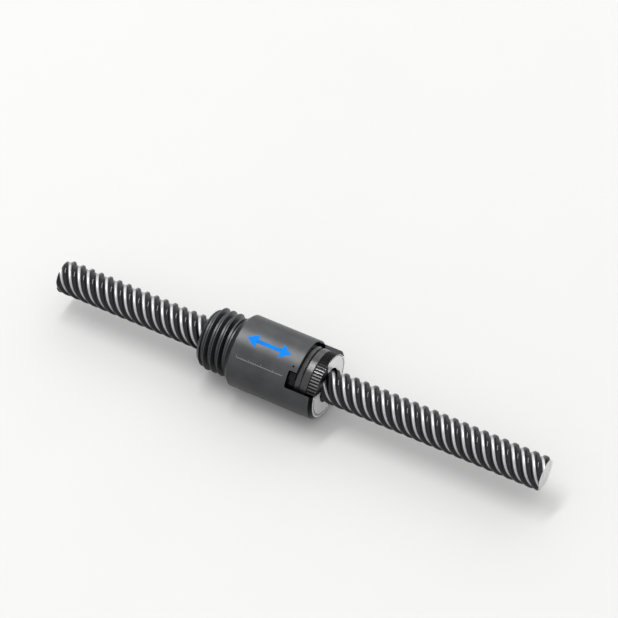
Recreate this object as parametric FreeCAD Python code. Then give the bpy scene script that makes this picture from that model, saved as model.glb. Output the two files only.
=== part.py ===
import FreeCAD, Part

import math
import os

from FreeCAD import Vector

# Ball screw assembly, millimetres. The screw runs along X, +Z is up.
# The origin lies on the screw axis, half way along the plain cylinder of the nut.
# Angles go round the axis from +Y towards +Z.

# ---- rolled screw -------------------------------------------------------
starts = 5
lead = 20.0
screw_length = 200.0
screw_x0 = -93.3
crest_r = 6.5
ball_r = 2.381 / 2
ball_circle_r = 6.75
groove_r = 1.26
groove_angle = 60.6
screw_chamfer = 0.6

# ---- nut housing --------------------------------------------------------
housing_r = 14.0
housing_x0 = -17.8
housing_x1 = 19.5
shoulder_chamfer = 2.3
end_chamfer = 1.3
bore_r = 12.05
bore_x0 = -9.6
nose_bore_r = 7.6
window_x0 = 10.9
window_angle = 18.4
window_span = 137.6
window_corner = 0.6
pocket_x0 = 7.9
pocket_span = 28.0
dimple_angle = 120.6
dimple_x = 8.85
dimple_r = 0.4

# ---- screw-in nose, M24 x 3 ---------------------------------------------
thread_major_r = 12.0
thread_pitch = 3.0
thread_depth = 0.625 * thread_pitch * math.sin(math.radians(60))
thread_angle = 121.4
nose_x0 = -30.3
nose_tip_r = 9.9
nose_lead_in = 2.4
relief_length = 1.1
relief_r = 10.25
wiper_bore_r = 9.0
wiper_bore_x1 = -25.4
clip_groove_x0 = -29.55
clip_groove_width = 1.1
clip_groove_r = 9.5
rear_wiper_x0 = -28.4
rear_wiper_width = 1.5
end_play = 0.05

# ---- ball track ---------------------------------------------------------
sleeve_r = 12.0
sleeve_inner_r = 7.05
sleeve_x0 = -5.4
track_x0 = -5.1
track_x1 = 10.6
return_r = 9.9
return_bore_r = 1.3
ball_gap = 0.03
turn_pull = 9.0
run_out = 1.6

# ---- deflectors, lock ring, wipers --------------------------------------
finger_clearance = 0.15
cap_r = 11.85
cove_depth = 0.38
cove_x1 = 13.2
cap_x1 = 15.9
felt_pocket_r = 9.6
felt_pocket_x0 = 14.55
tooth_count = 62
tooth_tip_r = 12.0
tooth_root_r = 11.3
tooth_gap_share = 0.55
lock_ring_x1 = 19.5
lock_ring_bore_r = 6.75
felt_inner_r = 6.58
felt_play = 0.1
wiper_inner_r = 6.64
wiper_lip = 1.3
front_wiper_width = 1.6
felt_width = 1.2
rear_felt_x0 = rear_wiper_x0 + rear_wiper_width + 0.15
clip_inner_r = 8.0
clip_gap_angle = 255
clip_gap_span = 30
radial_play = 0.02

# ---- small parts --------------------------------------------------------
key_angle = 135.4
key_x0 = 8.3
key_length = 2.4
key_width = 2.6
key_floor_r = 11.3
key_top_r = 12.9
dowel_r = 0.8
dowel_circle_r = 9.9
dowel_reach = 2.0
lube_x = 8.2
lube_r = 1.0

AXIS = Vector(1, 0, 0)
ORIGIN = Vector(0, 0, 0)


def polar(x, r, degrees):
    """Point at radius r and angle round the axis."""
    a = math.radians(degrees)
    return Vector(x, r * math.cos(a), r * math.sin(a))


def rod(x0, x1, r):
    """Plain cylinder on the axis."""
    return Part.makeCylinder(r, x1 - x0, Vector(x0, 0, 0), AXIS)


def tube(x0, x1, outer, inner):
    """Plain ring on the axis."""
    return rod(x0, x1, outer).cut(rod(x0 - 1, x1 + 1, inner))


def turned(profile):
    """Solid turned from a closed list of (x, r) points."""
    points = [Vector(x, r, 0) for x, r in profile]
    face = Part.Face(Part.makePolygon(points + [points[0]]))
    return face.revolve(ORIGIN, AXIS, 360)


def sector(x0, x1, inner, outer, start, span):
    """Part of a ring between two angles, in degrees."""
    ring = tube(x0, x1, outer, inner)
    far = outer * 3
    steps = max(2, int(span // 60) + 1)
    corners = [Vector(x0 - 1, 0, 0)]
    for i in range(steps + 1):
        corners.append(polar(x0 - 1, far, start + span * i / steps))
    face = Part.Face(Part.makePolygon(corners + [corners[0]]))
    return ring.common(face.extrude(Vector(x1 - x0 + 2, 0, 0)))


def twisted(wire, x0, x1, thread_lead):
    """Right-hand screw motion of a transverse wire from x0 to x1."""
    spine = Part.Wire([Part.makeLine(Vector(x0, 0, 0), Vector(x1, 0, 0))])
    guide = Part.makeHelix(thread_lead, x1 - x0, 5.0)
    guide.rotate(ORIGIN, Vector(0, 1, 0), 90)
    guide.translate(Vector(x0, 0, 0))
    sweep = Part.BRepOffsetAPI.MakePipeShell(spine)
    sweep.setAuxiliarySpine(Part.Wire(guide.Edges), True, 0)
    sweep.add(wire, False, False)
    sweep.build()
    sweep.makeSolid()
    return sweep.shape()


def curve_through(x, profile, offset):
    """Spline edge through (r, angle) points in the plane at x."""
    curve = Part.BSplineCurve()
    curve.interpolate([polar(x, r, a + offset) for r, a in profile])
    return curve.toShape()


def groove_point(a, arc_r):
    """(r, angle) where the groove's round form, at angle a on it, meets the transverse plane."""
    climb = math.atan2(lead, 2 * math.pi * ball_circle_r)
    across = arc_r * math.cos(a)
    radial = ball_circle_r + arc_r * math.sin(a)
    along_axis = across * math.cos(climb)
    sideways = -across * math.sin(climb)
    angle = math.degrees(math.atan2(sideways, radial)) - 360 * along_axis / lead
    return math.hypot(radial, sideways), angle


def groove_profile(land_r, arc_r, samples=17):
    """Transverse shape of one ball groove, below the land on the screw and above it in the nut."""
    deep = math.copysign(math.pi / 2, land_r - ball_circle_r)
    low, high = deep, 0.0
    if groove_point(0.0, arc_r)[0] < land_r < ball_circle_r:
        high = math.copysign(math.pi / 2, -deep)
    outward = deep > 0
    for _ in range(60):
        middle = (low + high) / 2
        beyond = groove_point(middle, arc_r)[0] > land_r
        if beyond == outward:
            low = middle
        else:
            high = middle
    edge = (low + high) / 2
    span = 2 * (deep - edge)
    points = [groove_point(edge + span * i / (samples - 1), arc_r) for i in range(samples)]
    points[0] = (land_r, points[0][1])
    points[-1] = (land_r, points[-1][1])
    return sorted(points, key=lambda p: p[1])


def grooved_wire(x, land_r, arc_r):
    """Closed transverse wire with grooves and lands in turn."""
    groove = groove_profile(land_r, arc_r)
    pitch_angle = 360 / starts
    land = groove[0][1] + pitch_angle - groove[-1][1]
    phase = groove_angle + 360 * x / lead
    edges = []
    for i in range(starts):
        offset = phase + i * pitch_angle
        edges.append(curve_through(x, groove, offset))
        first = groove[-1][1] + offset
        ends = polar(x, land_r, first), polar(x, land_r, first + land)
        edges.append(Part.Arc(ends[0], polar(x, land_r, first + land / 2), ends[1]).toShape())
    return Part.Wire(Part.__sortEdges__(edges))


def grooved_rod(x0, x1, land_r, arc_r):
    return twisted(grooved_wire(x0, land_r, arc_r), x0, x1, lead)


def screw_envelope(x0, x1):
    """The screw grown by the finger clearance."""
    return grooved_rod(x0, x1, crest_r + finger_clearance, groove_r - finger_clearance)


def track_angle(x, start):
    return groove_angle + 360 * x / lead + start * 360 / starts


def track_point(x, start):
    return polar(x, ball_circle_r, track_angle(x, start))


def track_tangent(x, start):
    """Unit direction of the ball track towards +X."""
    a = math.radians(track_angle(x, start))
    side = 2 * math.pi * ball_circle_r
    length = math.hypot(side, lead)
    return Vector(lead / length, -math.sin(a) * side / length, math.cos(a) * side / length)


# One circuit closes after a whole turn, so each deflector turns the balls half of the rest.
turn_angle = (360 - 360 * (track_x1 - track_x0) / lead) / 2


def return_angle(start):
    return track_angle(track_x1, start) + turn_angle


def turn_curve(start, front):
    """Centre line of the turn from the track into the return bore."""
    if front:
        p0, t0 = track_point(track_x1, start), track_tangent(track_x1, start)
        p1, t1 = polar(window_x0, return_r, return_angle(start)), Vector(-1, 0, 0)
    else:
        p0, t0 = track_point(track_x0, start), track_tangent(track_x0, start).multiply(-1)
        p1, t1 = polar(sleeve_x0, return_r, return_angle(start)), Vector(1, 0, 0)
    third = turn_pull / 3
    q0 = p0.add(Vector(t0).multiply(third))
    q1 = p1.sub(Vector(t1).multiply(third))
    curve = Part.BezierCurve()
    curve.setPoles([p0, q0, q1, p1])
    return curve


def turn_channel(start, front):
    """Round channel along the turn, run out straight at both ends."""
    curve = turn_curve(start, front)
    poles = curve.getPoles()
    begin = poles[0].sub(Vector(curve.tangent(0)[0]).multiply(run_out))
    end = poles[-1].add(Vector(curve.tangent(1)[0]).multiply(run_out))
    path = Part.Wire([Part.makeLine(begin, poles[0]), curve.toShape(), Part.makeLine(poles[-1], end)])
    ring = Part.Wire([Part.makeCircle(return_bore_r, begin, curve.tangent(0)[0])])
    return path.makePipeShell([ring], True, False)


def circuit_points(start, steps=1500):
    """Fine points round one closed ball circuit, each marked loaded or not."""
    points = []
    for i in range(steps):
        x = track_x0 + (track_x1 - track_x0) * i / steps
        points.append((track_point(x, start), True))
    front = turn_curve(start, True)
    for i in range(steps):
        points.append((front.value(i / steps), False))
    a = return_angle(start)
    for i in range(steps):
        x = window_x0 + (sleeve_x0 - window_x0) * i / steps
        points.append((polar(x, return_r, a), False))
    rear = turn_curve(start, False)
    for i in range(steps):
        points.append((rear.value(1 - i / steps), False))
    return points


def ball_centres(start):
    """Ball centres of one circuit, filled round from the rear: loaded ones, returning ones."""
    spacing = 2 * ball_r + ball_gap
    loaded_balls = []
    returning_balls = []
    first = last = None
    for point, loaded in circuit_points(start):
        if first and last.distanceToPoint(point) < spacing:
            continue
        if first and returning_balls and first.distanceToPoint(point) < spacing:
            break
        (loaded_balls if loaded else returning_balls).append(point)
        first = first or point
        last = point
    return loaded_balls, returning_balls


def balls(centres):
    return Part.makeCompound([Part.makeSphere(ball_r, c) for c in centres])


def make_screw():
    x1 = screw_x0 + screw_length
    threaded = grooved_rod(screw_x0, x1, crest_r, groove_r)
    tip = crest_r - screw_chamfer
    blank = turned([(screw_x0, 0), (screw_x0, tip), (screw_x0 + screw_chamfer, crest_r + 0.01),
                    (x1 - screw_chamfer, crest_r + 0.01), (x1, tip), (x1, 0)])
    return threaded.common(blank)


def make_nose():
    """Screw-in nose with its V thread, lead-in chamfer and relief at the shoulder."""
    x1 = housing_x0
    flank = 360 * 0.3125
    crest = 360 * 0.125
    root = 360 * 0.25
    phase = thread_angle + 360 * (nose_x0 - 1) / thread_pitch
    minor_r = thread_major_r - thread_depth
    x = nose_x0 - 1
    up = [(minor_r + thread_depth * i / 6, crest / -2 - flank + flank * i / 6) for i in range(7)]
    down = [(thread_major_r - thread_depth * i / 6, crest / 2 + flank * i / 6) for i in range(7)]
    edges = [
        curve_through(x, up, phase),
        Part.Arc(polar(x, thread_major_r, phase - crest / 2), polar(x, thread_major_r, phase),
                 polar(x, thread_major_r, phase + crest / 2)).toShape(),
        curve_through(x, down, phase),
        Part.Arc(polar(x, minor_r, phase + 180 - root / 2), polar(x, minor_r, phase + 180),
                 polar(x, minor_r, phase + 180 + root / 2)).toShape(),
    ]
    wire = Part.Wire(Part.__sortEdges__(edges))
    threaded = twisted(wire, x, x1 + 0.5, thread_pitch)
    envelope = turned([
        (nose_x0, 0), (nose_x0, nose_tip_r), (nose_x0 + nose_lead_in, thread_major_r + 0.05),
        (x1 - relief_length - 1.0, thread_major_r + 0.05), (x1 - relief_length, relief_r),
        (x1 + 0.4, relief_r), (x1 + 0.4, 0)])
    return threaded.common(envelope)


def make_housing():
    body = turned([
        (housing_x0, 0), (housing_x0, housing_r - shoulder_chamfer),
        (housing_x0 + shoulder_chamfer, housing_r), (housing_x1 - end_chamfer, housing_r),
        (housing_x1, housing_r - end_chamfer), (housing_x1, 0)])
    body = body.fuse(make_nose())
    # Stepped bore: nose clearance, wiper seat with its clip groove, stack bore.
    body = body.cut(rod(nose_x0 - 1, bore_x0 + 1, nose_bore_r))
    body = body.cut(rod(nose_x0 - 1, wiper_bore_x1, wiper_bore_r))
    body = body.cut(rod(clip_groove_x0, clip_groove_x0 + clip_groove_width, clip_groove_r))
    body = body.cut(rod(bore_x0, housing_x1 + 1, bore_r))
    # Side window open to the end, with a deeper pocket at one corner of it.
    window = sector(window_x0, housing_x1 + 1, bore_r - 1, housing_r + 1, window_angle, window_span)
    pocket = sector(pocket_x0, window_x0 + 1, bore_r - 1, housing_r + 1,
                    window_angle + window_span - pocket_span, pocket_span)
    # The pocket's blind corners are its two radial edges at the far end.
    corners = [e for e in pocket.Edges
               if e.Curve.TypeId == "Part::GeomLine" and e.BoundBox.XMax < pocket_x0 + 0.01]
    pocket = pocket.makeFillet(window_corner, corners)
    body = body.cut(window.fuse(pocket))
    # Oil port into one return bore, and a shallow punch mark beside the pocket.
    port = Part.makeCylinder(lube_r, 6, polar(lube_x, 9.5, lube_angle()), polar(0, 1, lube_angle()))
    body = body.cut(port)
    punch = Part.makeSphere(dimple_r, polar(dimple_x, housing_r + 0.1, dimple_angle))
    return body.cut(punch)


def lube_angle():
    """The oil port meets the return bore nearest the underside."""
    return return_angle(0) % 360 - 72


def key_block(clearance):
    half = key_width / 2 + clearance
    block = Part.makeBox(key_length + 2 * clearance, 2 * half, key_top_r - key_floor_r + clearance)
    block.translate(Vector(key_x0 - clearance, -half, key_floor_r - clearance))
    block.rotate(ORIGIN, AXIS, key_angle - 90)
    return block


def dowels():
    """Two pins that line up the sleeve and both deflectors."""
    pins = []
    for start in (1, 3):
        a = return_angle(start) + 36
        foot = polar(sleeve_x0 - dowel_reach, dowel_circle_r, a)
        pins.append(Part.makeCylinder(dowel_r, sleeve_length() + 2 * dowel_reach, foot, AXIS))
    return pins


def sleeve_length():
    return window_x0 - sleeve_x0


def make_sleeve():
    body = turned([
        (sleeve_x0, 5), (sleeve_x0, sleeve_r - 0.3), (sleeve_x0 + 0.3, sleeve_r),
        (window_x0 - 0.3, sleeve_r), (window_x0, sleeve_r - 0.3), (window_x0, 5)])
    tracks = grooved_wire(sleeve_x0 - 1, sleeve_inner_r, groove_r)
    body = body.cut(twisted(tracks, sleeve_x0 - 1, window_x0 + 1, lead))
    for start in range(starts):
        bore = Part.makeCylinder(return_bore_r, sleeve_length() + 2,
                                 polar(sleeve_x0 - 1, return_r, return_angle(start)), AXIS)
        body = body.cut([bore, turn_channel(start, True), turn_channel(start, False)])
    port = Part.makeCylinder(lube_r, 4, polar(lube_x, return_r, lube_angle()), polar(0, 1, lube_angle()))
    return body.cut([port, key_block(0.02)] + dowels())


def make_rear_deflector():
    body = turned([
        (bore_x0, 5), (bore_x0, sleeve_r - 0.4), (bore_x0 + 0.4, sleeve_r),
        (sleeve_x0, sleeve_r), (sleeve_x0, 5)])
    body = body.cut(screw_envelope(bore_x0 - 1, sleeve_x0 + 1))
    for start in range(starts):
        body = body.cut(turn_channel(start, False))
    return body.cut(dowels())


def make_front_deflector():
    """Deflector cap with a coved neck that shows in the window."""
    cove = []
    samples = 8
    for i in range(samples + 1):
        f = i / samples
        x = window_x0 + 0.35 + (cove_x1 - window_x0 - 0.35) * f
        cove.append((x, cap_r - cove_depth * math.sin(math.pi * f)))
    body = turned([(window_x0, 5), (window_x0, cap_r)] + cove
                  + [(cap_x1 - 0.2, cap_r), (cap_x1, cap_r - 0.2), (cap_x1, 5)])
    body = body.cut(screw_envelope(window_x0 - 1, cap_x1 + 1))
    body = body.cut(rod(felt_pocket_x0, cap_x1 + 1, felt_pocket_r))
    for start in range(starts):
        body = body.cut(turn_channel(start, True))
    return body.cut(dowels())


def make_lock_ring():
    """Serrated ring that holds the stack and is turned through the window."""
    body = tube(cap_x1, lock_ring_x1, tooth_tip_r, lock_ring_bore_r)
    body = body.cut(rod(cap_x1 - 1, cap_x1 + front_wiper_width + 2 * end_play, felt_pocket_r))
    gap_width = tooth_gap_share * 2 * math.pi * tooth_tip_r / tooth_count
    gap = Part.makeBox(lock_ring_x1 - cap_x1 + 2, gap_width, 1.0)
    gap.translate(Vector(cap_x1 - 1, -gap_width / 2, tooth_root_r))
    cutters = []
    for i in range(tooth_count):
        cutter = gap.copy()
        cutter.rotate(ORIGIN, AXIS, 360 * i / tooth_count)
        cutters.append(cutter)
    return body.cut(Part.makeCompound(cutters))


def make_wiper(x0, width, outer):
    """Ring with a thin lip that runs just clear of the thread crests."""
    x1 = x0 + width
    middle = x0 + width / 2
    return turned([
        (x0, outer), (x1, outer), (x1, wiper_inner_r + wiper_lip), (middle + 0.2, wiper_inner_r),
        (middle - 0.2, wiper_inner_r), (x0, wiper_inner_r + wiper_lip)])


def make_clip(x0, width):
    """Open spring ring that holds the rear wiper in its seat."""
    x1 = x0 + width
    outer = clip_groove_r - radial_play
    ring = tube(x0, x1, outer, clip_inner_r)
    return ring.cut(sector(x0 - 1, x1 + 1, clip_inner_r - 1, outer + 1, clip_gap_angle, clip_gap_span))


shapes = {
    "screw_shaft": make_screw(),
    "nut_housing": make_housing(),
    "raceway_sleeve": make_sleeve(),
    "rear_deflector": make_rear_deflector(),
    "front_deflector": make_front_deflector(),
    "serrated_lock_ring": make_lock_ring(),
    "anti_rotation_key": key_block(0.0),
    "dowel_pins": Part.makeCompound(dowels()),
    "front_wiper": make_wiper(cap_x1 + end_play, front_wiper_width, felt_pocket_r - radial_play),
    "rear_wiper": make_wiper(rear_wiper_x0, rear_wiper_width, wiper_bore_r - radial_play),
    "rear_clip": make_clip(clip_groove_x0 + end_play, clip_groove_width - 2 * end_play),
    "front_felt": tube(felt_pocket_x0 + 2 * end_play, cap_x1 - end_play, felt_pocket_r - felt_play, felt_inner_r),
    "rear_felt": tube(rear_felt_x0, rear_felt_x0 + felt_width, wiper_bore_r - felt_play, felt_inner_r),
}
for number in range(starts):
    loaded, returning = ball_centres(number)
    shapes["loaded_balls_%d" % (number + 1)] = balls(loaded)
    shapes["return_balls_%d" % (number + 1)] = balls(returning)

os.makedirs("parts", exist_ok=True)
for name, shape in shapes.items():
    shape.exportStep("parts/%s.step" % name)
    print(name, shape.isValid(), len(shape.Solids), round(shape.Volume, 3))
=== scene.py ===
import math

import bpy
import numpy as np
from mathutils import Matrix, Vector


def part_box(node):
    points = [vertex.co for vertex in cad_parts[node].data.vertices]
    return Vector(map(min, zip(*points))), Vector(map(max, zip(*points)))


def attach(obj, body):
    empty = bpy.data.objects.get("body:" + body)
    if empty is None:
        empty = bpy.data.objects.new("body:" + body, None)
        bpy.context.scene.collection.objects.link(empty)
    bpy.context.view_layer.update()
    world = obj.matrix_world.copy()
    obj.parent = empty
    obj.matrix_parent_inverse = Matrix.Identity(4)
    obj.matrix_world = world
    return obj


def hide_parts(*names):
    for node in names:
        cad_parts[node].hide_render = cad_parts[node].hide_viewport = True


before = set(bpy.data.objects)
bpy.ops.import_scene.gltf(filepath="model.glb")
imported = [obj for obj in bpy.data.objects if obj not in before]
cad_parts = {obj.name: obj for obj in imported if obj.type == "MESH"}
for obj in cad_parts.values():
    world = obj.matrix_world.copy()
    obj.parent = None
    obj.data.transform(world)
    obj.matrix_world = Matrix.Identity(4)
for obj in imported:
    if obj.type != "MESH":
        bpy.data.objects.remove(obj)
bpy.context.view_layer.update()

MM = 0.001

# ---------------------------------------------------------------- dimensions, in mm and degrees
# Angles go round the screw axis (X), from +Y towards +Z.
STARTS = 5
LEAD = 20.0
CREST_R = 6.5
ROOT_R = 5.49
BALL_CIRCLE_R = 6.75
GROOVE_R = 1.26
GROOVE_ANGLE = 60.6
SCREW_CHAMFER = 0.6
CREST_DROP = 0.01
CREST_CROWN = 0.07
EDGE_SHARPNESS = 26.0
GROOVE_SAMPLES = 400
PROFILE_SAMPLES = 44
FAR_R = 20.0
SCREW_STEP = 0.25

NUT_R = 14.0
NUT_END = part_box("nut_housing")[1].x / MM
NUT_CHAMFER = 1.3
LIP_R = 12.3
POCKET_X = 7.0
TOOTH_R = 12.0
# Sector of the ring's end face painted near black as painted shade, in degrees.
SHADED_FROM, SHADED_TO = 92.0, 158.0

NEAR_ANGLE = 127.4
MARK_LIFT = 0.02
MARK_ROWS = 17
ARROW_X = -2.9
ARROW_ANGLE = NEAR_ANGLE - 21.7
ARROW_HALF_LENGTH = 9.0
ARROW_HEAD = 4.2
ARROW_BARB = 2.9
ARROW_SHAFT = 0.75
ARROW_TIP = 0.02
ARROW_STEPS = 12
SCALE_ANGLE = NEAR_ANGLE + 13.0
SCALE_X0, SCALE_X1 = -13.0, 6.0
SCALE_HALF_WIDTH = 0.12
TICKS = 20
TICK_WIDTH = 0.16
LONG_TICK, SHORT_TICK = 0.9, 0.5
TICKS_PER_GROUP = 5

# In metres.
FLOOR_HALF_SIZE = 3.0
FLOOR_GAP = 0.00002

# Colours that two materials share.
# Near black: the ring's tooth lands, and painted shade on the ring's end face inside the window.
BLACK_AND_PAINTED_SHADE = (0.006, 0.006, 0.007)
GROUND = (0.72, 0.72, 0.725)


def new_object(name, verts, faces, smooth=True):
    mesh = bpy.data.meshes.new(name)
    mesh.from_pydata([tuple(v) for v in verts], [], faces)
    mesh.update()
    if smooth:
        mesh.polygons.foreach_set("use_smooth", [True] * len(mesh.polygons))
    obj = bpy.data.objects.new(name, mesh)
    bpy.context.scene.collection.objects.link(obj)
    return obj


# ---------------------------------------------------------------- materials
class Nodes:
    """Small helper around one material's node tree."""

    def __init__(self, name):
        self.material = bpy.data.materials.new(name)
        self.material.use_nodes = True
        self.tree = self.material.node_tree
        self.shader = self.tree.nodes["Principled BSDF"]
        self.coord = self.add("ShaderNodeTexCoord")

    def add(self, kind, **settings):
        node = self.tree.nodes.new(kind)
        for key, value in settings.items():
            setattr(node, key, value)
        return node

    def link(self, out, into):
        self.tree.links.new(out, into)

    def drive(self, name, out):
        """Feed one of the shader's own inputs."""
        self.link(out, self.shader.inputs[name])

    def set(self, name, value):
        self.shader.inputs[name].default_value = value

    def noise(self, scale, detail=4.0, rough=0.55, stretch=(1, 1, 1)):
        mapping = self.add("ShaderNodeMapping")
        mapping.inputs["Scale"].default_value = stretch
        self.link(self.coord.outputs["Object"], mapping.inputs["Vector"])
        node = self.add("ShaderNodeTexNoise")
        node.inputs["Scale"].default_value = scale
        node.inputs["Detail"].default_value = detail
        node.inputs["Roughness"].default_value = rough
        self.link(mapping.outputs["Vector"], node.inputs["Vector"])
        return node.outputs["Fac"]

    def ramp(self, value, dark, light, start=0.3, end=0.7):
        """Colour that runs from dark at start to light at end."""
        node = self.add("ShaderNodeValToRGB")
        for element, position, color in zip(node.color_ramp.elements, (start, end), (dark, light)):
            element.position = position
            element.color = (*color, 1.0)
        self.link(value, node.inputs["Fac"])
        return node.outputs["Color"]

    def remap(self, value, low, high, from_low=0.0, from_high=1.0):
        node = self.add("ShaderNodeMapRange")
        node.inputs["From Min"].default_value = from_low
        node.inputs["From Max"].default_value = from_high
        node.inputs["To Min"].default_value = low
        node.inputs["To Max"].default_value = high
        self.link(value, node.inputs["Value"])
        return node.outputs["Result"]

    def above(self, value, start, width):
        """0 up to start, 1 past start + width, both in mm."""
        return self.remap(value, 0.0, 1.0, start * MM, (start + width) * MM)

    def below(self, value, start, width):
        """1 up to start, 0 past start + width, both in mm."""
        return self.remap(value, 1.0, 0.0, start * MM, (start + width) * MM)

    def math(self, kind, a, b=None):
        node = self.add("ShaderNodeMath", operation=kind)
        for socket, value in zip(node.inputs, (a, b)):
            if value is None:
                continue
            if isinstance(value, (int, float)):
                socket.default_value = value
            else:
                self.link(value, socket)
        return node.outputs["Value"]

    def mix(self, factor, a, b):
        node = self.add("ShaderNodeMix", data_type="RGBA")
        self.link(factor, node.inputs["Factor"])
        for key, value in (("A", a), ("B", b)):
            socket = [s for s in node.inputs if s.name == key and s.type == "RGBA"][0]
            if isinstance(value, tuple):
                socket.default_value = (*value, 1.0)
            else:
                self.link(value, socket)
        return [s for s in node.outputs if s.type == "RGBA"][0]

    def place(self):
        """The X, Y and Z of the point, in metres."""
        split = self.add("ShaderNodeSeparateXYZ")
        self.link(self.coord.outputs["Object"], split.inputs["Vector"])
        return split.outputs

    def along(self):
        """Position along the screw axis, in metres."""
        return self.place()["X"]

    def radius(self):
        """Distance from the screw axis, in metres."""
        place = self.place()
        y = self.math("MULTIPLY", place["Y"], place["Y"])
        z = self.math("MULTIPLY", place["Z"], place["Z"])
        return self.math("SQRT", self.math("ADD", y, z))

    def side(self, angle):
        """1 on the side of the screw axis that faces this angle, 0 on the other."""
        place = self.place()
        y = self.math("MULTIPLY", place["Y"], math.cos(math.radians(angle)))
        z = self.math("MULTIPLY", place["Z"], math.sin(math.radians(angle)))
        return self.above(self.math("ADD", y, z), 0.0, 0.1)

    def bump(self, height, strength, distance=0.00002, edge=None):
        """Fine relief, over edges rounded by the radius given, in metres."""
        node = self.add("ShaderNodeBump")
        node.inputs["Strength"].default_value = strength
        node.inputs["Distance"].default_value = distance
        self.link(height, node.inputs["Height"])
        if edge:
            bevel = self.add("ShaderNodeBevel", samples=4)
            bevel.inputs["Radius"].default_value = edge
            self.link(bevel.outputs["Normal"], node.inputs["Normal"])
        self.drive("Normal", node.outputs["Normal"])


def steel(name, dark, light, rough, scale=120.0):
    """Machined or ground steel: mottled tone, fine grain, softened edges."""
    m = Nodes(name)
    m.drive("Base Color", m.ramp(m.noise(scale, 5.0, 0.6), dark, light))
    m.set("Metallic", 1.0)
    fine = m.noise(900.0, 3.0, 0.6)
    m.drive("Roughness", m.remap(fine, *rough))
    m.bump(fine, 0.1, edge=0.0001)
    return m.material


def screw_black():
    """Glossy black oxide, run bright by the balls along the groove floor."""
    m = Nodes("screw_black_oxide")
    radius = m.radius()
    base = m.ramp(m.noise(260.0, 6.0, 0.65), (0.002, 0.002, 0.003), (0.006, 0.006, 0.008), end=0.75)
    floor = m.below(radius, ROOT_R + 0.05, 0.10)
    bright = m.ramp(m.noise(500.0, 4.0, 0.6), (0.36, 0.36, 0.37), (0.46, 0.46, 0.47))
    worn = m.remap(m.noise(1700.0, 5.0, 0.75), 0.0, 1.0, 0.66, 0.76)
    rub = m.math("MULTIPLY", m.above(radius, CREST_R - 0.14, 0.14), worn)
    oxide = m.mix(rub, base, (0.045, 0.044, 0.041))
    m.drive("Base Color", m.mix(floor, oxide, bright))
    m.drive("Metallic", m.math("MAXIMUM", floor, rub))
    m.set("IOR", 1.34)
    gloss = m.remap(m.noise(700.0, 4.0, 0.6), 0.04, 0.10)
    m.drive("Roughness", m.math("ADD", gloss, m.math("MULTIPLY", floor, 0.30)))
    m.bump(m.noise(2600.0, 3.0, 0.6), 0.05)
    return m.material


def nut_steel():
    """Satin dark grey on the turned outside, ground end face, chamfer painted near black, and painted
    shade: the walls inside the window painted near black.
    """
    m = Nodes("nut_satin_grey")
    satin = m.ramp(m.noise(110.0, 5.0, 0.6), (0.050, 0.051, 0.053), (0.070, 0.071, 0.074))
    x = m.along()
    radius = m.radius()
    end_face = m.above(x, NUT_END - 0.05, 0.04)
    chamfer = m.math("MULTIPLY", m.above(x, NUT_END - NUT_CHAMFER, 0.08), m.above(radius, LIP_R, 0.20))
    # Painted shade: the nut's walls inside the window and its pocket are painted near black.
    window_painted_shade = m.math("MULTIPLY", m.above(x, POCKET_X, 0.20), m.below(radius, NUT_R - 0.14, 0.09))
    dark = m.math("MAXIMUM", chamfer, window_painted_shade)
    # Near black on the chamfer, and as painted shade on the walls inside the window.
    outside = m.mix(dark, satin, (0.005, 0.005, 0.006))
    m.drive("Base Color", m.mix(end_face, outside, GROUND))
    m.drive("Metallic", m.remap(end_face, 1.0, 0.6))
    rough = m.remap(m.noise(900.0, 3.0, 0.6), 0.34, 0.42)
    smoother = m.math("MULTIPLY", m.math("MAXIMUM", dark, end_face), 0.20)
    m.drive("Roughness", m.math("SUBTRACT", rough, smoother))
    turning_lines = m.noise(9000.0, 2.0, 0.5, stretch=(1, 0.002, 0.002))
    m.bump(turning_lines, 0.10, edge=0.00005)
    return m.material


def ring_steel():
    """Machined ring: near-black tooth lands, brighter gaps, and painted shade: a sector of the ground
    end face painted near black inside the window.
    """
    m = Nodes("ring_bright")
    tone = m.ramp(m.noise(400.0, 5.0, 0.6), (0.13, 0.13, 0.132), (0.19, 0.19, 0.192))
    land = m.above(m.radius(), TOOTH_R - 0.12, 0.06)
    face = m.above(m.along(), NUT_END - 0.05, 0.04)
    # Painted shade: the sector of the end face between SHADED_FROM and SHADED_TO is painted near black.
    shaded = m.math("MULTIPLY", m.side(SHADED_FROM + 90.0), m.side(SHADED_TO - 90.0))
    ground = m.mix(shaded, GROUND, BLACK_AND_PAINTED_SHADE)
    m.drive("Base Color", m.mix(face, m.mix(land, tone, BLACK_AND_PAINTED_SHADE), ground))
    m.drive("Metallic", m.remap(face, 1.0, 0.6))
    m.drive("Roughness", m.remap(m.noise(900.0, 3.0, 0.6), 0.26, 0.36))
    m.bump(m.noise(1500.0, 4.0, 0.6), 0.08, edge=0.00003)
    return m.material


def ball_steel():
    m = Nodes("ball_polished")
    m.drive("Base Color", m.ramp(m.noise(500.0), (0.55, 0.55, 0.57), (0.72, 0.72, 0.74)))
    m.set("Metallic", 1.0)
    m.drive("Roughness", m.remap(m.noise(1500.0), 0.05, 0.12))
    m.bump(m.noise(4000.0), 0.03, distance=0.00001)
    return m.material


def polymer(name, dark, light, rough):
    m = Nodes(name)
    m.drive("Base Color", m.ramp(m.noise(300.0, 5.0), dark, light))
    m.drive("Roughness", m.remap(m.noise(1200.0), *rough))
    m.bump(m.noise(3500.0, 3.0), 0.15, distance=0.00003, edge=0.0001)
    return m.material


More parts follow.
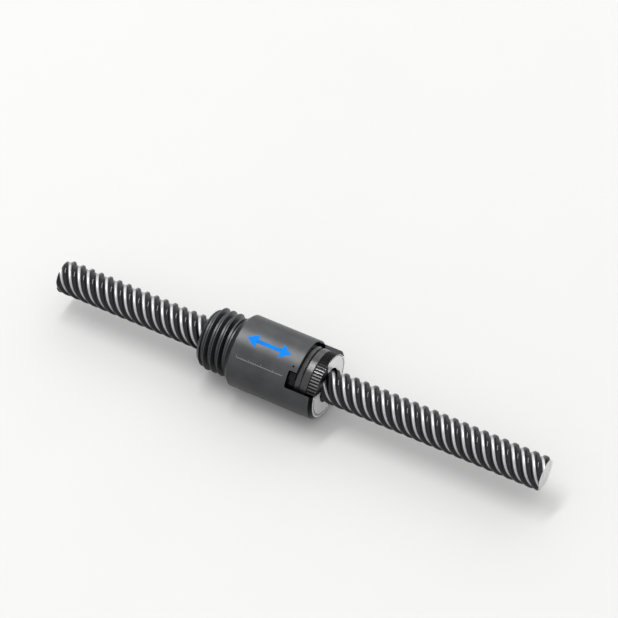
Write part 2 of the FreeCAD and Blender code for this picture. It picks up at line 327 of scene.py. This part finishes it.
def felt():
    m = Nodes("felt_oiled")
    m.drive("Base Color", m.ramp(m.noise(1500.0, 8.0, 0.8), (0.30, 0.28, 0.24), (0.62, 0.59, 0.52)))
    m.drive("Roughness", m.remap(m.noise(900.0), 0.8, 0.95))
    m.bump(m.noise(6000.0, 6.0, 0.8), 0.8, distance=0.0002)
    return m.material


def ink(name, dark, light):
    m = Nodes(name)
    m.drive("Base Color", m.ramp(m.noise(1800.0, 5.0, 0.7), dark, light, 0.35, 0.65))
    m.drive("Roughness", m.remap(m.noise(1500.0), 0.5, 0.65))
    m.set("IOR", 1.18)
    m.bump(m.noise(5000.0), 0.1, distance=0.00001)
    return m.material


def floor_paper():
    m = Nodes("floor_paper")
    m.drive("Base Color", m.ramp(m.noise(2.5, 3.0), (0.495, 0.495, 0.491), (0.510, 0.510, 0.506)))
    m.drive("Roughness", m.remap(m.noise(40.0), 0.6, 0.75))
    m.bump(m.noise(900.0), 0.05, distance=0.00005)
    return m.material


BLACK = screw_black()
BARE_END = steel("screw_bare_end", (0.50, 0.50, 0.50), (0.72, 0.72, 0.71), (0.22, 0.36), scale=500.0)
NUT = nut_steel()
RING = ring_steel()
CLIP = steel("clip_steel", (0.42, 0.42, 0.43), (0.62, 0.62, 0.63), (0.16, 0.28), scale=400.0)
# Painted shade: the sleeve, key and dowel pins, seen down the pocket, get a near-black steel colour.
PAINTED_SHADE_STEEL = steel("sleeve_painted_shade", (0.008, 0.008, 0.009), (0.018, 0.018, 0.020), (0.16, 0.26))
CAP = polymer("deflector_black", (0.006, 0.006, 0.007), (0.016, 0.016, 0.018), (0.20, 0.28))
WIPER = polymer("wiper_black", (0.02, 0.02, 0.02), (0.04, 0.04, 0.042), (0.45, 0.6))
BALLS = ball_steel()
FELT = felt()
BLUE = ink("print_blue", (0.0, 0.14, 0.50), (0.0, 0.17, 0.60))
GREY = ink("print_grey", (0.13, 0.13, 0.135), (0.20, 0.20, 0.205))

FINISH = {
    "nut_housing": NUT, "raceway_sleeve": PAINTED_SHADE_STEEL, "rear_deflector": CAP, "front_deflector": CAP,
    "serrated_lock_ring": RING, "anti_rotation_key": PAINTED_SHADE_STEEL, "dowel_pins": PAINTED_SHADE_STEEL, "front_wiper": WIPER,
    "rear_wiper": WIPER, "rear_clip": CLIP, "front_felt": FELT, "rear_felt": FELT,
}


def finish_cad_nodes():
    for node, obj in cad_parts.items():
        material = FINISH.get(node, BALLS if "balls" in node else BLACK)
        obj.data.materials.clear()
        obj.data.materials.append(material)


# ---------------------------------------------------------------- screw
def groove_outline():
    """Angle and radius of points along one groove, cut square to the screw axis."""
    climb = math.atan2(LEAD, 2 * math.pi * BALL_CIRCLE_R)
    arc = np.linspace(-math.pi, 0, GROOVE_SAMPLES)
    across = GROOVE_R * np.cos(arc)
    radial = BALL_CIRCLE_R + GROOVE_R * np.sin(arc)
    side = -across * math.sin(climb)
    angle = np.degrees(np.arctan2(side, radial)) - 360 * across * math.cos(climb) / LEAD
    order = np.argsort(angle)
    return angle[order], np.hypot(radial, side)[order]


def screw_profile():
    """Radius against the fraction of one groove spacing, with the groove's middle at 0."""
    spacing = 360 / STARTS
    angle, radius = groove_outline()
    middle = GROOVE_SAMPLES // 2
    fraction = np.linspace(-0.5, 0.5, PROFILE_SAMPLES, endpoint=False)
    groove = np.interp(fraction * spacing, angle, radius, left=FAR_R, right=FAR_R)
    half_land = 0.5 - np.interp(CREST_R, radius[middle:], angle[middle:]) / spacing
    across_land = np.clip((0.5 - np.abs(fraction)) / half_land, 0, 1)
    crest = CREST_R - CREST_DROP - CREST_CROWN * across_land ** 2
    k = EDGE_SHARPNESS
    blended = -np.log(np.exp(-k * groove) + np.exp(-k * crest)) / k
    return fraction, blended


def build_screw():
    """Crowned, black screw with bright groove floors and a bare front end."""
    lo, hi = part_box("screw_shaft")
    x0, x1 = lo.x / MM, hi.x / MM
    fraction, radius = screw_profile()
    angles = np.concatenate([(fraction + i) * 360 / STARTS for i in range(STARTS)]) + GROOVE_ANGLE
    radii = np.tile(radius, STARTS)
    count = len(angles)

    ends = np.linspace(0, SCREW_CHAMFER, 4, endpoint=False)
    body = np.linspace(x0 + SCREW_CHAMFER, x1 - SCREW_CHAMFER, int((x1 - x0) / SCREW_STEP))
    rings = []
    for x in np.concatenate([x0 + ends, body, x1 - ends[::-1]]):
        r = np.minimum(radii, CREST_R - SCREW_CHAMFER + min(x - x0, x1 - x))
        a = np.radians(angles + 360 * x / LEAD)
        rings.append(np.stack([np.full_like(r, x), r * np.cos(a), r * np.sin(a)], axis=1))

    faces = []
    for j in range(len(rings) - 1):
        row, above = j * count, (j + 1) * count
        for i in range(count):
            following = (i + 1) % count
            faces.append((row + i, row + following, above + following, above + i))
    side_faces = len(faces)

    # The end faces have rims of their own, so that their edges stay sharp.
    centres = np.array([[x0, 0, 0], [x1, 0, 0]])
    verts = np.concatenate(rings + [centres, rings[0], rings[-1]]) * MM
    base = len(rings) * count
    rear, front = base + 2, base + 2 + count
    faces += [(base, rear + (i + 1) % count, rear + i) for i in range(count)]
    faces += [(base + 1, front + i, front + (i + 1) % count) for i in range(count)]

    obj = new_object("screw_visual", verts, faces)
    mesh = obj.data
    mesh.materials.append(BLACK)
    mesh.materials.append(BARE_END)
    mesh.polygons.foreach_set("use_smooth", [p < side_faces for p in range(len(mesh.polygons))])
    for p in range(side_faces + count, len(mesh.polygons)):
        mesh.polygons[p].material_index = 1
    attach(obj, "screw")
    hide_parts("screw_shaft")


# ---------------------------------------------------------------- printed marks
def wrapped_strip(name, outline, angle, material):
    """Strip of varying half width along X, in mm, wrapped on the nut's cylinder."""
    r = (NUT_R + MARK_LIFT) * MM
    verts = []
    for x, half in outline:
        for k in range(MARK_ROWS):
            arc = half * (2 * k / (MARK_ROWS - 1) - 1)
            a = math.radians(angle) + arc / NUT_R
            verts.append((x * MM, r * math.cos(a), r * math.sin(a)))
    faces = []
    for i in range(len(outline) - 1):
        for k in range(MARK_ROWS - 1):
            a = i * MARK_ROWS + k
            faces.append((a, a + MARK_ROWS, a + MARK_ROWS + 1, a + 1))
    obj = new_object(name, verts, faces)
    obj.data.materials.append(material)
    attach(obj, "nut")


def build_arrow():
    """Double arrow along the nut."""
    left = []
    for i in range(ARROW_STEPS + 1):
        f = i / ARROW_STEPS
        left.append((-ARROW_HALF_LENGTH + ARROW_HEAD * f, ARROW_TIP + (ARROW_BARB - ARROW_TIP) * f))
    left.append((-ARROW_HALF_LENGTH + ARROW_HEAD + 0.001, ARROW_SHAFT))
    right = [(-x, half) for x, half in reversed(left)]
    wrapped_strip("travel_arrow", [(ARROW_X + x, half) for x, half in left + right], ARROW_ANGLE, BLUE)


def build_scale():
    """Fine line along the nut with a tick every millimetre."""
    half = SCALE_HALF_WIDTH
    wrapped_strip("scale_line", [(SCALE_X0, half), (SCALE_X1, half)], SCALE_ANGLE, GREY)
    for i in range(TICKS):
        x = SCALE_X0 + i
        half = (SHORT_TICK if i % TICKS_PER_GROUP else LONG_TICK) / 2
        angle = SCALE_ANGLE - math.degrees(half / NUT_R)
        wrapped_strip("scale_tick_%02d" % i, [(x, half), (x + TICK_WIDTH, half)], angle, GREY)


# ---------------------------------------------------------------- stage
def build_floor():
    size = FLOOR_HALF_SIZE
    z = -NUT_R * MM - FLOOR_GAP
    corners = [(-size, -size, z), (size, -size, z), (size, size, z), (-size, size, z)]
    floor = new_object("floor", corners, [(0, 1, 2, 3)], smooth=False)
    floor.data.materials.append(floor_paper())


def area_light(name, place, width, height, power):
    """Soft light aimed at the origin, in metres and watts."""
    data = bpy.data.lights.new(name, "AREA")
    data.energy = power
    data.shape = "RECTANGLE"
    data.size = width
    data.size_y = height
    light = bpy.data.objects.new(name, data)
    light.location = place
    light.rotation_mode = "QUATERNION"
    light.rotation_quaternion = (-Vector(place)).to_track_quat("-Z", "Y")
    bpy.context.scene.collection.objects.link(light)


def build_world():
    """White room, a little darker towards the floor."""
    world = bpy.data.worlds.new("studio")
    world.use_nodes = True
    tree = world.node_tree
    background = tree.nodes["Background"]
    coord = tree.nodes.new("ShaderNodeTexCoord")
    split = tree.nodes.new("ShaderNodeSeparateXYZ")
    ramp = tree.nodes.new("ShaderNodeValToRGB")
    low, high = ramp.color_ramp.elements
    low.position, low.color = 0.0, (0.78, 0.78, 0.79, 1)
    high.position, high.color = 0.9, (1.0, 1.0, 1.0, 1)
    tree.links.new(coord.outputs["Generated"], split.inputs["Vector"])
    tree.links.new(split.outputs["Z"], ramp.inputs["Fac"])
    tree.links.new(ramp.outputs["Color"], background.inputs["Color"])
    background.inputs["Strength"].default_value = 1.42
    bpy.context.scene.world = world


def build_camera(azimuth, elevation, distance, side, rise, lens):
    """Camera looking back along its direction from the origin, then moved sideways and up, in metres."""
    a, e = math.radians(azimuth), math.radians(elevation)
    back = Vector((math.sin(a) * math.cos(e), -math.cos(a) * math.cos(e), math.sin(e)))
    right = Vector((math.cos(a), math.sin(a), 0))
    up = back.cross(right)
    data = bpy.data.cameras.new("camera")
    data.sensor_width = 36.0
    data.lens = lens
    data.clip_start, data.clip_end = 0.01, 20.0
    camera = bpy.data.objects.new("camera", data)
    camera.location = back * distance + right * side + up * rise
    camera.rotation_mode = "QUATERNION"
    camera.rotation_quaternion = Matrix((right, up, back)).transposed().to_quaternion()
    bpy.context.scene.collection.objects.link(camera)
    bpy.context.scene.camera = camera


finish_cad_nodes()
build_screw()
build_arrow()
build_scale()
build_floor()
area_light("softbox", (-0.48, 0.12, 1.60), width=1.10, height=0.13, power=12.5)
area_light("back_panel", (-0.2, 1.2, 0.8), width=1.6, height=0.9, power=3.6)
build_world()
build_camera(azimuth=28.225, elevation=49.043, distance=1.0444, side=0.010051, rise=0.02071, lens=165.9)
bpy.context.scene.view_settings.view_transform = "Standard"
